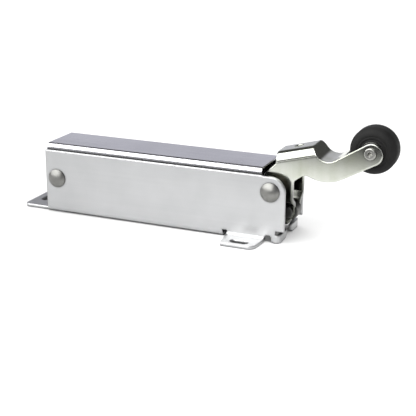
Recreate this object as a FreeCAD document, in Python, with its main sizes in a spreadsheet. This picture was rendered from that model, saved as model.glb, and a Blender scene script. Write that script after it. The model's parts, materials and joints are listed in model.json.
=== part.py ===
"""Hydraulic door closer with a spring strut and a roller arm.

A plated steel channel is screwed down by a rear tab and two feet, and a cover nests between its
walls. A rivet through the nose carries the arm, another through the rear end carries the strut:
a hydraulic cylinder inside a coil spring, whose rod pushes on the arm's crank pin.

Millimetres. +X points to the arm, the front wall faces -Y, +Z is up. The origin lies on
the mounting plane, midway between the walls and midway along them.
"""
import FreeCAD, Part
import math
import os
import Sketcher

# Driving dimensions, grouped by piece
SIZES = {
    # Housing channel
    "housing_length": 156.0,
    "housing_width": 36.6,
    "housing_sheet": 1.9,
    "housing_bend": 1.2,
    "wall_height": 39.6,
    "pivot_height": 30.2,
    "nose_radius": 9.0,
    "nose_step": 5.4,
    "nose_step_round": 1.0,
    "rear_pin_inset": 7.6,
    "rear_pin_height": 22.0,
    # Rear tab of the channel
    "tab_length": 18.2,
    "tab_inset": 2.2,
    "tab_round": 3.0,
    "tab_slot_length": 12.6,
    "tab_slot_width": 5.4,
    "tab_slot_reach": 10.5,
    # Feet of the channel
    "relief_rise": 0.5,
    "foot_relief": 2.9,
    "foot_length": 23.0,
    "foot_inset": 11.8,
    "foot_reach": 15.6,
    "foot_bend": 1.8,
    "foot_taper": 1.6,
    "foot_lean": 1.2,
    "foot_flat": 0.4,
    "foot_round": 4.2,
    "foot_heel_round": 1.5,
    "foot_slot_length": 11.4,
    "foot_slot_width": 5.2,
    "foot_slot_reach": 10.4,
    "foot_slot_inset": 11.5,
    # Lips folded in across the open end of the channel
    "lip_relief": 4.2,
    "lip_relief_round": 1.6,
    "lip_height": 4.8,
    "lip_reach": 14.0,
    "lip_bend": 0.6,
    "lip_round": 2.2,
    "lip_end_round": 3.6,
    "lip_setback": 2.4,
    "lip_slit": 2.6,
    "lip_slit_run": 0.4,
    # Cover
    "cover_sheet": 1.2,
    "cover_gap": 0.15,
    "cover_bend": 1.8,
    "cover_top": 43.4,
    "cover_flange": 27.0,
    "cover_setback": 6.0,
    # Rivets, bushes and spacers
    "rivet_diameter": 6.35,
    "rivet_head": 11.5,
    "rivet_dome": 3.0,
    "hole_gap": 0.05,
    "running_gap": 0.04,
    "side_gap": 0.15,
    "bush_wall": 1.5,
    "bush_flange": 1.0,
    "bush_lip": 1.4,
    "spacer_wall": 1.5,
    "pivot_spacer": 3.6,
    # Arm
    "arm_sheet": 2.6,
    "arm_bend": 6.0,
    "ear_radius": 10.3,
    "ear_low_angle": 20.0,
    "ear_high_angle": 45.0,
    "web_back": 0.5,
    "web_back_lean": 0.5,
    "web_height": 21.7,
    "web_run": 21.6,
    "web_slope": 15.0,
    "web_hole": 5.6,
    "web_hole_reach": 10.8,
    "valley_reach": 28.7,
    "valley_height": 16.7,
    "valley_round": 8.0,
    "neck_reach": 31.3,
    "neck_height": 5.9,
    "neck_round": 21.0,
    "window_top_reach": 18.1,
    "window_top_height": 10.8,
    "window_round": 4.0,
    "leg_reach": 11.2,
    "leg_top": 5.8,
    "leg_foot": 4.8,
    # Crank lobes, set inward from the arm's cheeks
    "joggle_start": 6.7,
    "joggle_drop": 3.7,
    "joggle_inset": 5.25,
    "joggle_bend": 1.0,
    "lobe_back": 1.5,
    "lobe_shoulder": 15.0,
    "lobe_lean": 26.0,
    "lobe_drop": 21.8,
    "lobe_heel_round": 5.0,
    "lobe_toe_round": 3.0,
    "crank_reach": 7.1,
    "crank_drop": 14.55,
    "crank_diameter": 5.0,
    "crank_head": 6.6,
    "crank_head_height": 0.7,
    "crank_head_round": 0.3,
    # Roller and its fork
    "axle_reach": 54.6,
    "axle_rise": 26.9,
    "axle_diameter": 4.8,
    "axle_head": 6.6,
    "axle_head_height": 1.2,
    "axle_head_round": 0.6,
    "axle_bore": 2.6,
    "axle_bore_depth": 3.0,
    "fork_slope": 29.8,
    "fork_half": 6.4,
    "fork_drop": 0.8,
    "fork_flat": 0.4,
    "roller_diameter": 26.8,
    "roller_round": 4.3,
    "roller_gap": 1.6,
    "roller_bush_wall": 1.6,
    "roller_washer": 12.0,
    "roller_washer_sheet": 1.5,
    # Hydraulic cylinder
    "eye_radius": 7.5,
    "eye_width": 14.0,
    "neck_radius": 6.0,
    "neck_length": 14.0,
    "shoulder_radius": 9.6,
    "shoulder_length": 3.0,
    "plug_length": 7.0,
    "tube_diameter": 17.0,
    "tube_wall": 1.5,
    "tube_length": 72.0,
    "fit_gap": 0.05,
    "gland_setback": 3.2,
    "gland_length": 9.0,
    "gland_groove_place": 4.0,
    "oring_section": 1.6,
    "ring_groove": 0.6,
    "snap_ring_thickness": 1.1,
    "snap_ring_band": 1.6,
    "seal_band": 1.9,
    "seal_length": 3.2,
    # Rod and piston
    "rod_diameter": 6.35,
    "rod_tail_diameter": 5.0,
    "rod_socket": 7.5,
    "piston_place": 46.0,
    "piston_length": 9.0,
    "piston_ring_height": 2.4,
    "piston_ring_band": 1.4,
    "nut_flats": 8.0,
    "nut_length": 3.6,
    "rod_tail": 1.0,
    "rod_eye_radius": 5.4,
    "rod_eye_reach": 19.4,
    "rod_tongue": 11.0,
    "rod_neck_radius": 5.0,
    "pin_seat_gap": 0.3,
    "pin_slot_length": 0.5,
    "pin_slot_height": 2.0,
    # Spring
    "seat_thickness": 2.0,
    "seat_diameter": 25.4,
    "spring_diameter": 25.0,
    "spring_wire": 2.8,
    "spring_turns": 9.0,
    "spring_end_gap": 0.05,
}

# How far a cut runs past the metal, what counts as the same place, and the sides of a nut
OVERRUN = 1.0
NEAR = 0.01
NUT_SIDES = 6

doc = FreeCAD.newDocument("door_closer")
sheet = doc.addObject("Spreadsheet::Sheet", "Sizes")


class Size:
    """A number together with the sheet formula that it comes from."""

    def __init__(self, number, formula):
        self.number = number
        self.formula = formula

    def __add__(self, other):
        other = as_size(other)
        return Size(self.number + other.number, f"({self.formula} + {other.formula})")

    def __sub__(self, other):
        other = as_size(other)
        return Size(self.number - other.number, f"({self.formula} - {other.formula})")

    def __mul__(self, other):
        other = as_size(other)
        return Size(self.number * other.number, f"({self.formula} * {other.formula})")

    def __truediv__(self, other):
        other = as_size(other)
        return Size(self.number / other.number, f"({self.formula} / {other.formula})")

    def __neg__(self):
        return Size(-self.number, f"(0 - {self.formula})")


def as_size(value):
    """Give a plain number as a size."""
    return value if isinstance(value, Size) else Size(float(value), repr(float(value)))


def cosine(angle):
    """Cosine of an angle in degrees."""
    return Size(math.cos(math.radians(angle.number)), f"cos({angle.formula})")


def sine(angle):
    """Sine of an angle in degrees."""
    return Size(math.sin(math.radians(angle.number)), f"sin({angle.formula})")


def square_root(value):
    """Square root of a size."""
    return Size(math.sqrt(value.number), f"sqrt({value.formula})")


def fill_sheet():
    """Write the driving dimensions into the sheet and return them as sizes by name."""
    sizes = {}
    for row, (alias, number) in enumerate(SIZES.items(), start=1):
        sheet.set(f"A{row}", alias)
        sheet.set(f"B{row}", str(number))
        sheet.setAlias(f"B{row}", alias)
        sizes[alias] = Size(number, f"Sizes.{alias}")
    doc.recompute()
    return sizes


def bind(item, name, size):
    """Tie a property to the sheet."""
    item.setExpression(name, as_size(size).formula)


def place(item, x=0.0, z=0.0, tilt=None):
    """Set a piece on the middle plane at x and z, tilted about Y if a tilt is given."""
    x = as_size(x)
    z = as_size(z)
    turn = FreeCAD.Rotation()
    if tilt is not None:
        turn = FreeCAD.Rotation(FreeCAD.Vector(0, 1, 0), tilt.number)
    item.Placement = FreeCAD.Placement(FreeCAD.Vector(x.number, 0, z.number), turn)
    bind(item, "Placement.Base.x", x)
    bind(item, "Placement.Base.z", z)
    if tilt is not None:
        bind(item, "Placement.Rotation.Angle", tilt)


def new_body(label):
    """Start a body with its own label."""
    body = doc.addObject("PartDesign::Body", label)
    body.Label = label
    return body


def new_sketch(body, role, offset=None):
    """Attach a sketch to one of the body's origin planes, moved along the plane's normal."""
    plane = next(item for item in body.Origin.OriginFeatures if item.Role == role)
    sketch = body.newObject("Sketcher::SketchObject", f"{body.Label}_sketch")
    sketch.AttachmentSupport = [(plane, "")]
    sketch.MapMode = "FlatFace"
    if offset is not None:
        bind(sketch, "AttachmentOffset.Base.z", offset)
    return sketch


def draw_circle(sketch, x, y, diameter):
    """Draw a circle whose middle and diameter are tied to the sheet."""
    x = as_size(x)
    y = as_size(y)
    middle = FreeCAD.Vector(x.number, y.number, 0)
    index = sketch.addGeometry(Part.Circle(middle, FreeCAD.Vector(0, 0, 1), diameter.number / 2))
    ties = [
        (Sketcher.Constraint("DistanceX", -1, 1, index, 3, x.number), x),
        (Sketcher.Constraint("DistanceY", -1, 1, index, 3, y.number), y),
        (Sketcher.Constraint("Diameter", index, diameter.number), diameter),
    ]
    for constraint, size in ties:
        bind(sketch, f"Constraints[{sketch.addConstraint(constraint)}]", size)


def corner_arc(before, corner, after, radius):
    """Where a rounding of a corner starts, where it ends, its middle, and if it turns left."""
    back = (before - corner).normalize()
    ahead = (after - corner).normalize()
    half = back.getAngle(ahead) / 2
    start = corner + back * (radius / math.tan(half))
    end = corner + ahead * (radius / math.tan(half))
    middle = corner + (back + ahead).normalize() * (radius / math.sin(half))
    return start, end, middle, ahead.cross(back).z > 0


def draw_arc(middle, radius, start, end):
    """Arc that runs anticlockwise from start to end."""
    first = math.atan2(start.y - middle.y, start.x - middle.x)
    last = math.atan2(end.y - middle.y, end.x - middle.x)
    circle = Part.Circle(middle, FreeCAD.Vector(0, 0, 1), radius)
    return Part.ArcOfCircle(circle, first, last)


def draw_loop(sketch, corners, domes=None):
    """Draw a closed outline tied to the sheet.

    A corner is (x, y), or (x, y, radius) where it is rounded. domes gives, by the number of the
    corner where it starts, the radius of a side that is an arc bulging to the right of its way,
    or None for half a circle that goes on from the side before it.
    """
    domes = domes or {}
    count = len(corners)
    sized = [tuple(as_size(value) for value in corner) for corner in corners]
    points = [FreeCAD.Vector(corner[0].number, corner[1].number, 0) for corner in sized]
    starts = list(points)
    ends = list(points)
    arcs = {}
    for i, corner in enumerate(sized):
        if len(corner) == 3:
            arcs[i] = corner_arc(points[i - 1], points[i], points[(i + 1) % count], corner[2].number)
            ends[i] = arcs[i][0]
            starts[i] = arcs[i][1]
    first = sketch.GeometryCount
    sides = []
    for i in range(count):
        begin = starts[i]
        finish = ends[(i + 1) % count]
        if i in domes:
            chord = finish - begin
            radius = chord.Length / 2 if domes[i] is None else as_size(domes[i]).number
            left = FreeCAD.Vector(-chord.y, chord.x, 0).normalize()
            middle = (begin + finish) / 2 + left * math.sqrt(max(radius**2 - chord.Length**2 / 4, 0))
            sides.append(draw_arc(middle, radius, begin, finish))
        else:
            sides.append(Part.LineSegment(begin, finish))
    sketch.addGeometry(sides, False)
    ties = []
    plain = []
    for i, corner in enumerate(sized):
        coming = first + (i - 1) % count
        going = first + i
        if i in arcs:
            start, end, middle, left = arcs[i]
            ordered = (start, end) if left else (end, start)
            arc = sketch.addGeometry(draw_arc(middle, corner[2].number, *ordered), False)
            mark = sketch.addGeometry(Part.Point(points[i]), True)
            plain.append(Sketcher.Constraint("Tangent", coming, 2, arc, 1 if left else 2))
            plain.append(Sketcher.Constraint("Tangent", arc, 2 if left else 1, going, 1))
            plain.append(Sketcher.Constraint("PointOnObject", mark, 1, coming))
            plain.append(Sketcher.Constraint("PointOnObject", mark, 1, going))
            ties.append((Sketcher.Constraint("Radius", arc, corner[2].number), corner[2]))
            held = (mark, 1)
        else:
            meeting = "Tangent" if domes.get(i, i) is None else "Coincident"
            plain.append(Sketcher.Constraint(meeting, coming, 2, going, 1))
            held = (going, 1)
        ties.append((Sketcher.Constraint("DistanceX", -1, 1, *held, points[i].x), corner[0]))
        ties.append((Sketcher.Constraint("DistanceY", -1, 1, *held, points[i].y), corner[1]))
    for i, radius in domes.items():
        if radius is not None:
            ties.append((Sketcher.Constraint("Radius", first + i, as_size(radius).number), radius))
    sketch.addConstraint(plain)
    numbers = sketch.addConstraint([constraint for constraint, size in ties])
    for number, (constraint, size) in zip(numbers, ties):
        bind(sketch, f"Constraints[{number}]", size)


def draw_box(sketch, left, right, low, high):
    """Draw a rectangle by its four sides."""
    draw_loop(sketch, [(left, low), (right, low), (right, high), (left, high)])


def draw_slot(sketch, x, y, length, width, along_x=True):
    """Draw a slot with round ends by its middle, its length over all and its width."""
    near = width / 2
    far = length / 2 - near
    if along_x:
        corners = [(x - far, y - near), (x + far, y - near), (x + far, y + near), (x - far, y + near)]
    else:
        corners = [(x + near, y - far), (x + near, y + far), (x - near, y + far), (x - near, y - far)]
    draw_loop(sketch, corners, {1: None, 3: None})


def pad(body, sketch, length, symmetric=False):
    """Pad a sketch along its normal, or to both sides of it."""
    feature = body.newObject("PartDesign::Pad", f"{body.Label}_pad")
    feature.Profile = sketch
    feature.SideType = "Symmetric" if symmetric else "One side"
    bind(feature, "Length", length)
    doc.recompute()
    return feature


def pocket(body, sketch, length, symmetric=False, along_normal=False):
    """Cut a sketch out of the body, and stop if nothing was cut."""
    before = body.Shape.Volume
    feature = body.newObject("PartDesign::Pocket", f"{body.Label}_pocket")
    feature.Profile = sketch
    feature.SideType = "Symmetric" if symmetric else "One side"
    feature.Reversed = along_normal
    bind(feature, "Length", length)
    doc.recompute()
    if body.Shape.Volume > before - NEAR:
        raise RuntimeError(f"{feature.Label} cuts nothing")
    return feature


def revolve(body, sketch, axis):
    """Turn a sketch once round its own H_Axis or V_Axis."""
    feature = body.newObject("PartDesign::Revolution", f"{body.Label}_turn")
    feature.Profile = sketch
    feature.ReferenceAxis = (sketch, [axis])
    feature.Angle = 360
    doc.recompute()
    return feature


def fillet(body, edges, radius):
    """Round the named edges of the body's last feature."""
    base = body.Tip
    feature = body.newObject("PartDesign::Fillet", f"{body.Label}_fillet")
    feature.Base = (base, edges)
    bind(feature, "Radius", radius)
    doc.recompute()
    return feature


def edges_on_line(shape, start, end):
    """Names of the edges that run along a line of the XZ plane, at any Y."""
    along = FreeCAD.Vector(end[0] - start[0], 0, end[1] - start[1]).normalize()
    origin = FreeCAD.Vector(start[0], 0, start[1])
    names = []
    for number, edge in enumerate(shape.Edges, start=1):
        places = [FreeCAD.Vector(v.Point.x, 0, v.Point.z) - origin for v in edge.Vertexes]
        off_line = max((place - along * place.dot(along)).Length for place in places)
        if off_line < NEAR and (places[0] - places[-1]).Length > NEAR:
            names.append(f"Edge{number}")
    return names


def edges_across(shape, x, z):
    """Names of the edges that run along Y at x and z."""
    names = []
    for number, edge in enumerate(shape.Edges, start=1):
        if all(math.dist((v.Point.x, v.Point.z), (x.number, z.number)) < NEAR for v in edge.Vertexes):
            names.append(f"Edge{number}")
    return names


def edges_along(shape, y, z):
    """Names of the edges that run along X at y and z."""
    names = []
    for number, edge in enumerate(shape.Edges, start=1):
        if all(math.dist((v.Point.y, v.Point.z), (y.number, z.number)) < NEAR for v in edge.Vertexes):
            names.append(f"Edge{number}")
    return names


def inset_corner(before, corner, after, depth):
    """Where a corner lies once both its sides move in by a depth, to the right of the way round."""
    normals = []
    for start, end in ((before, corner), (corner, after)):
        run = end[0] - start[0]
        rise = end[1] - start[1]
        length = square_root(run * run + rise * rise)
        normals.append((rise / length, -run / length))
    (ax, ay), (bx, by) = normals
    share = depth / (ax * bx + ay * by + 1)
    return corner[0] + (ax + bx) * share, corner[1] + (ay + by) * share


def turned_on_y(label, loops, x, z):
    """Piece turned about a cross axis at x and z, from outlines of radius and Y."""
    body = new_body(label)
    sketch = new_sketch(body, "XY_Plane")
    for corners, domes in loops:
        draw_loop(sketch, corners, domes)
    revolve(body, sketch, "V_Axis")
    place(body, x, z)
    return body


def ring_loop(inner, outer, low, high):
    """Outline of a ring, by its radii and its ends."""
    return [(inner, low), (outer, low), (outer, high), (inner, high)], {}


size = fill_sheet()

# Places that several pieces share
half_length = size["housing_length"] / 2
half_width = size["housing_width"] / 2
sheet_gauge = size["housing_sheet"]
wall_inside = half_width - sheet_gauge
cover_outside = wall_inside - size["cover_gap"]
cover_inside = cover_outside - size["cover_sheet"]
pivot_x = half_length - size["nose_radius"]
pivot_z = size["pivot_height"]
rear_x = size["rear_pin_inset"] - half_length
rear_z = size["rear_pin_height"]
rivet_hole = size["rivet_diameter"] + size["hole_gap"] * 2
foot_front = half_length - size["foot_inset"]
foot_back = foot_front - size["foot_length"]
base_end = foot_back - size["foot_relief"]
relief_top = size["foot_bend"] + sheet_gauge + size["relief_rise"]
lip_start = foot_front + size["lip_relief"]
lip_face = half_length - size["lip_setback"]
lip_fold = lip_face - size["lip_bend"] - sheet_gauge
spacer_face = wall_inside - size["pivot_spacer"]
bush_face = spacer_face - size["side_gap"]
arm_half = bush_face - size["bush_flange"]
arm_inside = arm_half - size["arm_sheet"]
lobe_outside = arm_half - size["joggle_inset"]
lobe_inside = lobe_outside - size["arm_sheet"]
roller_half = arm_inside - size["roller_washer_sheet"] - size["side_gap"]
axle_x = pivot_x + size["axle_reach"]
axle_z = pivot_z + size["axle_rise"]
crank_x = pivot_x + size["crank_reach"]
crank_z = pivot_z - size["crank_drop"]
strut_run = crank_x - rear_x
strut_drop = rear_z - crank_z
strut_length = square_root(strut_run * strut_run + strut_drop * strut_drop)
strut_tilt = Size(
    math.degrees(math.atan(strut_drop.number / strut_run.number)),
    f"atan({strut_drop.formula} / {strut_run.formula})",
)


def make_housing_channel():
    """One stamping: base with a rear tab, two walls, two feet and two lips."""
    body = new_body("housing_channel")
    section = new_sketch(body, "YZ_Plane", -half_length)
    outer = size["housing_bend"] + sheet_gauge
    draw_loop(section, [
        (-half_width, size["wall_height"]),
        (-half_width, 0, outer),
        (half_width, 0, outer),
        (half_width, size["wall_height"]),
        (wall_inside, size["wall_height"]),
        (wall_inside, sheet_gauge, size["housing_bend"]),
        (-wall_inside, sheet_gauge, size["housing_bend"]),
        (-wall_inside, size["wall_height"]),
    ])
    pad(body, section, size["housing_length"])

    # The base ends at the feet, and the walls stand clear of the plane from there on
    opening = new_sketch(body, "XY_Plane")
    draw_box(opening, base_end, half_length + OVERRUN, -half_width - OVERRUN, half_width + OVERRUN)
    pocket(body, opening, relief_top, along_normal=True)

    # Nose round the pivot, slit above each lip, and the holes for the rivets
    sides = new_sketch(body, "XZ_Plane")
    nose_top = pivot_z + size["nose_radius"]
    slit_top = size["lip_height"] + size["lip_slit"]
    slit_back = lip_fold - size["lip_slit_run"]
    draw_loop(sides, [
        (pivot_x - size["nose_step"], size["wall_height"] + OVERRUN),
        (pivot_x - size["nose_step"], nose_top, size["nose_step_round"]),
        (half_length, nose_top, size["nose_radius"]),
        (half_length, pivot_z - OVERRUN),
        (half_length + OVERRUN, pivot_z - OVERRUN),
        (half_length + OVERRUN, size["wall_height"] + OVERRUN),
    ])
    draw_loop(sides, [
        (lip_fold, 0),
        (half_length + OVERRUN, 0),
        (half_length + OVERRUN, slit_top),
        (slit_back, slit_top),
        (slit_back, size["lip_height"]),
        (lip_fold, size["lip_height"]),
    ])
    draw_circle(sides, pivot_x, pivot_z, rivet_hole)
    draw_circle(sides, rear_x, rear_z, rivet_hole)
    pocket(body, sides, size["housing_width"] + OVERRUN * 2, symmetric=True)

    # Feet: a fold out of each wall, and a slotted plate
    folds = new_sketch(body, "YZ_Plane", foot_back)
    plates = new_sketch(body, "XY_Plane")
    lips = new_sketch(body, "XY_Plane")
    for side in (-1, 1):
        face = half_width * side
        inside = wall_inside * side
        bend = (half_width + size["foot_bend"] + size["foot_flat"]) * side
        front = (half_width + size["foot_reach"]) * side
        draw_loop(folds, [
            (face, relief_top),
            (face, sheet_gauge, size["foot_bend"]),
            (bend, sheet_gauge),
            (bend, 0),
            (inside, 0, size["foot_bend"] + sheet_gauge),
            (inside, relief_top),
        ][::-side])
        draw_loop(plates, [
            (foot_back, bend),
            (foot_back + size["foot_taper"], front, size["foot_heel_round"]),
            (foot_front - size["foot_lean"], front, size["foot_round"]),
            (foot_front, bend),
        ][::-side])
        slot_y = (half_width + size["foot_slot_reach"]) * side
        draw_slot(plates, foot_front - size["foot_slot_inset"], slot_y,
                  size["foot_slot_length"], size["foot_slot_width"])
        lip_end = (half_width - size["lip_reach"]) * side
        draw_loop(lips, [
            (lip_start, face),
            (lip_face, face, size["lip_bend"] + sheet_gauge),
            (lip_face, lip_end),
            (lip_face - sheet_gauge, lip_end),
            (lip_face - sheet_gauge, inside, size["lip_bend"]),
            (lip_start, inside),
        ][::-side])
    pad(body, folds, size["foot_length"])
    pad(body, plates, sheet_gauge)
    pad(body, lips, size["lip_height"])
    arch = edges_across(body.Shape, foot_front, relief_top)
    arch += edges_across(body.Shape, lip_start, relief_top)
    fillet(body, arch, size["lip_relief_round"])
    fillet(body, edges_across(body.Shape, lip_start, as_size(0)), size["lip_round"])
    tips = []
    for side in (-1, 1):
        lip_end = (half_width - size["lip_reach"]) * side
        tips += edges_along(body.Shape, lip_end, as_size(0))
    fillet(body, tips, size["lip_end_round"])

    # Rear tab, a little narrower than the walls
    tab = new_sketch(body, "XY_Plane")
    tab_half = half_width - size["tab_inset"]
    tab_end = -half_length - size["tab_length"]
    draw_loop(tab, [
        (-half_length, -tab_half),
        (-half_length, tab_half),
        (tab_end, tab_half, size["tab_round"]),
        (tab_end, -tab_half, size["tab_round"]),
    ])
    draw_slot(tab, -half_length - size["tab_slot_reach"], as_size(0),
              size["tab_slot_length"], size["tab_slot_width"], along_x=False)
    pad(body, tab, sheet_gauge)
    return body


def make_top_cover():
    """Inverted channel between the walls, open at both ends, held by the rear rivet."""
    body = new_body("top_cover")
    section = new_sketch(body, "YZ_Plane", -half_length)
    top = size["cover_top"]
    low = top - size["cover_flange"]
    under = top - size["cover_sheet"]
    outer = size["cover_bend"] + size["cover_sheet"]
    draw_loop(section, [
        (-cover_outside, low),
        (-cover_inside, low),
        (-cover_inside, under, size["cover_bend"]),
        (cover_inside, under, size["cover_bend"]),
        (cover_inside, low),
        (cover_outside, low),
        (cover_outside, top, outer),
        (-cover_outside, top, outer),
    ])
    pad(body, section, pivot_x - size["cover_setback"] + half_length)
    holes = new_sketch(body, "XZ_Plane")
    draw_circle(holes, rear_x, rear_z, rivet_hole)
    pocket(body, holes, size["housing_width"], symmetric=True)
    return body


def make_rivet(label, x, z):
    """Rivet across the channel with a domed head on each wall."""
    radius = size["rivet_diameter"] / 2
    head = size["rivet_head"] / 2
    top = half_width + size["rivet_dome"]
    dome = (head * head + size["rivet_dome"] * size["rivet_dome"]) / (size["rivet_dome"] * 2)
    outline = [
        (0, -top),
        (head, -half_width),
        (radius, -half_width),
        (radius, half_width),
        (head, half_width),
        (0, top),
    ]
    return turned_on_y(label, [(outline, {0: dome, 4: dome})], x, z)


def make_pair_on_y(label, inner, outer, near, far, x, z):
    """Two equal rings on a cross axis, one on each side of the middle plane."""
    loops = [ring_loop(inner, outer, near, far), ring_loop(inner, outer, -far, -near)]
    return turned_on_y(label, loops, x, z)


rivet_bore = size["rivet_diameter"] / 2 + size["running_gap"]
washer_bore = size["axle_diameter"] / 2 + size["hole_gap"]
bush_outer = rivet_bore + size["bush_wall"]


def make_pivot_bushes():
    """Flanged bushes pressed into the arm's ears, flanges outside."""
    flange = bush_outer + size["bush_lip"]
    loops = []
    for side in (-1, 1):
        corners = [
            (rivet_bore, arm_inside * side),
            (bush_outer, arm_inside * side),
            (bush_outer, arm_half * side),
            (flange, arm_half * side),
            (flange, bush_face * side),
            (rivet_bore, bush_face * side),
        ]
        loops.append((corners[::side], {}))
    return turned_on_y("pivot_bushes", loops, pivot_x, pivot_z)


def arm_corners():
    """Side outline of the arm about the pivot, from the ears round to the foot of the legs."""
    slope = size["web_slope"]
    web_front = size["web_back"] + size["web_run"] * cosine(slope)
    web_top = size["web_height"] + size["web_run"] * sine(slope)
    along = size["fork_slope"]
    middle_x = size["axle_reach"] + size["fork_drop"] * sine(along)
    middle_z = size["axle_rise"] - size["fork_drop"] * cosine(along)
    half = size["fork_half"]
    run = half * cosine(along)
    rise = half * sine(along)
    tip_round = half - size["fork_flat"]
    # The ear is the arc between two lines that touch it, one rising and one falling to the front
    ear = size["ear_radius"]
    low = size["ear_low_angle"]
    high = size["ear_high_angle"]
    reach = ear / cosine((low + high) / 2)
    lean = (low - high) / 2
    lobe_back = -size["lobe_back"]
    web_end = size["web_back"] + size["web_back_lean"]
    return [
        (-reach * cosine(lean), -reach * sine(lean), ear),
        (web_end, (web_end * sine(high) + ear) / cosine(high)),
        (size["web_back"], size["web_height"]),
        (web_front, web_top),
        (size["valley_reach"], size["valley_height"], size["valley_round"]),
        (middle_x + run - rise, middle_z + rise + run, tip_round),
        (middle_x + run + rise, middle_z + rise - run, tip_round),
        (size["neck_reach"], size["neck_height"], size["neck_round"]),
        (size["window_top_reach"], size["window_top_height"], size["window_round"]),
        (size["leg_reach"], size["leg_top"], size["window_round"]),
        (size["leg_reach"], -size["leg_foot"]),
        (lobe_back, -size["leg_foot"]),
        (lobe_back, -(lobe_back * sine(low) + ear) / cosine(low)),
    ]


def add_crank_lobes(body):
    """Carry each leg on below the ear, set inward by a joggle, as a lobe for the crank pin."""
    back = -size["lobe_back"]
    front = size["leg_reach"]
    foot = size["lobe_drop"]
    gauge = size["arm_sheet"]
    bend = size["joggle_bend"]
    upper = (arm_half, -size["leg_foot"])
    start = (arm_half, -size["joggle_start"])
    end = (lobe_outside, -size["joggle_start"] - size["joggle_drop"])
    lower = (lobe_outside, -foot)
    start_inside = inset_corner(upper, start, end, gauge)
    end_inside = inset_corner(start, end, lower, gauge)
    strips = new_sketch(body, "YZ_Plane", back)
    for side in (-1, 1):
        corners = [
            upper,
            (*start, bend + gauge),
            (*end, bend),
            lower,
            (lobe_inside, -foot),
            (*end_inside, bend + gauge),
            (*start_inside, bend),
            (arm_inside, -size["leg_foot"]),
        ]
        draw_loop(strips, [(corner[0] * side, *corner[1:]) for corner in corners])
    pad(body, strips, front - back)

    # The front edge leans back below the shoulder
    shoulder = -size["lobe_shoulder"]
    below = -foot - OVERRUN
    lean = sine(size["lobe_lean"]) / cosine(size["lobe_lean"])
    toe = front - (foot - size["lobe_shoulder"]) * lean
    trim = new_sketch(body, "XZ_Plane")
    draw_loop(trim, [(front, shoulder), (toe - lean * OVERRUN, below), (front, below)])
    pocket(body, trim, arm_half * 2, symmetric=True)
    fillet(body, edges_across(body.Shape, back, -foot), size["lobe_heel_round"])
    fillet(body, edges_across(body.Shape, toe, -foot), size["lobe_toe_round"])


def make_lever_arm():
    """Pressed U-section arm: two cheeks joined by a web along the top, with a crank lobe on each."""
    body = new_body("lever_arm")
    corners = arm_corners()
    outline = new_sketch(body, "XZ_Plane")
    draw_loop(outline, corners)
    pad(body, outline, arm_half * 2, symmetric=True)

    # Fold of the web into the cheeks, outside
    web_back, web_front, valley, tip, tip_low = (corner[:2] for corner in corners[2:7])
    web = [(x.number, z.number) for x, z in (web_back, web_front)]
    fillet(body, edges_on_line(body.Shape, *web), size["arm_bend"])

    # Space between the cheeks, one sheet below the web, and the fold inside
    gauge = size["arm_sheet"]
    slope = size["web_slope"]
    low = -size["ear_radius"] * 2
    back = -size["ear_radius"] * 2
    front = tip_low[0] + size["fork_half"]
    under_back_x = web_back[0] - OVERRUN
    under_back_z = web_back[1] - gauge / cosine(slope) - sine(slope) / cosine(slope) * OVERRUN
    under_front = inset_corner(web_back, web_front, valley, gauge)
    under_valley = inset_corner(web_front, valley, tip, gauge)
    under_tip = inset_corner(valley, tip, tip_low, gauge)
    inside = new_sketch(body, "XZ_Plane")
    draw_loop(inside, [
        (back, low),
        (front, low),
        (front, under_tip[1]),
        under_tip,
        (*under_valley, size["valley_round"] + gauge),
        under_front,
        (under_back_x, under_back_z),
        (back, under_back_z),
    ])
    pocket(body, inside, arm_inside * 2, symmetric=True)
    under_web = [(x.number, z.number) for x, z in ((under_back_x, under_back_z), under_front)]
    fillet(body, edges_on_line(body.Shape, *under_web), size["arm_bend"] - gauge)

    add_crank_lobes(body)

    # Room for the roller in the web, the holes for the pins, and the hole in the web
    wheel = new_sketch(body, "XZ_Plane")
    room = size["roller_diameter"] + size["roller_gap"] * 2
    draw_circle(wheel, size["axle_reach"], size["axle_rise"], room)
    pocket(body, wheel, arm_inside * 2, symmetric=True)
    pins = new_sketch(body, "XZ_Plane")
    crank_hole = size["crank_diameter"] + size["hole_gap"] * 2
    draw_circle(pins, 0, 0, (bush_outer + size["hole_gap"]) * 2)
    draw_circle(pins, size["crank_reach"], -size["crank_drop"], crank_hole)
    draw_circle(pins, size["axle_reach"], size["axle_rise"], washer_bore * 2)
    pocket(body, pins, (arm_half + OVERRUN) * 2, symmetric=True)
    drain = new_sketch(body, "XY_Plane")
    draw_circle(drain, size["web_hole_reach"], 0, size["web_hole"])
    pocket(body, drain, web_front[1] + OVERRUN, along_normal=True)
    place(body, pivot_x, pivot_z)
    return body


def make_crank_pin():
    """Pin across the crank lobes, with a flat round head on each."""
    radius = size["crank_diameter"] / 2
    head = size["crank_head"] / 2
    face = lobe_outside + size["crank_head_height"]
    edge = size["crank_head_round"]
    outline = [
        (0, -face),
        (head, -face, edge),
        (head, -lobe_outside),
        (radius, -lobe_outside),
        (radius, lobe_outside),
        (head, lobe_outside),
        (head, face, edge),
        (0, face),
    ]
    return turned_on_y("crank_pin", [(outline, {})], crank_x, crank_z)


def make_roller_axle():
    """Rivet across the fork, with a low head and a hollow end on each cheek."""
    radius = size["axle_diameter"] / 2
    head = size["axle_head"] / 2
    bore = size["axle_bore"] / 2
    face = arm_half + size["axle_head_height"]
    bottom = face - size["axle_bore_depth"]
    edge = size["axle_head_round"]
    outline = [
        (0, -bottom),
        (bore, -bottom),
        (bore, -face),
        (head, -face, edge),
        (head, -arm_half),
        (radius, -arm_half),
        (radius, arm_half),
        (head, arm_half),
        (head, face, edge),
        (bore, face),
        (bore, bottom),
        (0, bottom),
    ]
    return turned_on_y("roller_axle", [(outline, {})], axle_x, axle_z)


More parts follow.
